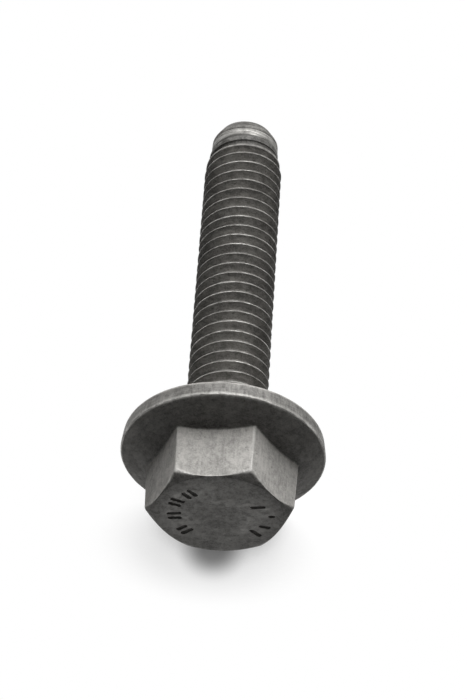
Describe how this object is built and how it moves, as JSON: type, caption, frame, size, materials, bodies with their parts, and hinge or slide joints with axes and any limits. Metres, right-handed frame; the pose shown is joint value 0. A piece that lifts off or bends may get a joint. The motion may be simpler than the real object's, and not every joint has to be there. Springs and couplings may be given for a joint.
{
  "type": "flange bolt",
  "caption": "Hexagon flange bolt in dark phosphated steel: conical washer flange, right-hand metric thread along the whole shank, and a plain chamfered pilot at its end.",
  "frame": {"origin": "centre of the bearing face, the flat ring under the flange", "axes": "+Z along the shank, from the head towards the thread's end; +X through two corners of the hexagon; the bolt stands on its head"},
  "size_m": [0.0198, 0.0198, 0.0484],
  "materials": {
    "dark_steel": "matte"
  },
  "bodies": {
    "root": {"flange_bolt": "dark_steel"}
  },
  "joints": []
}
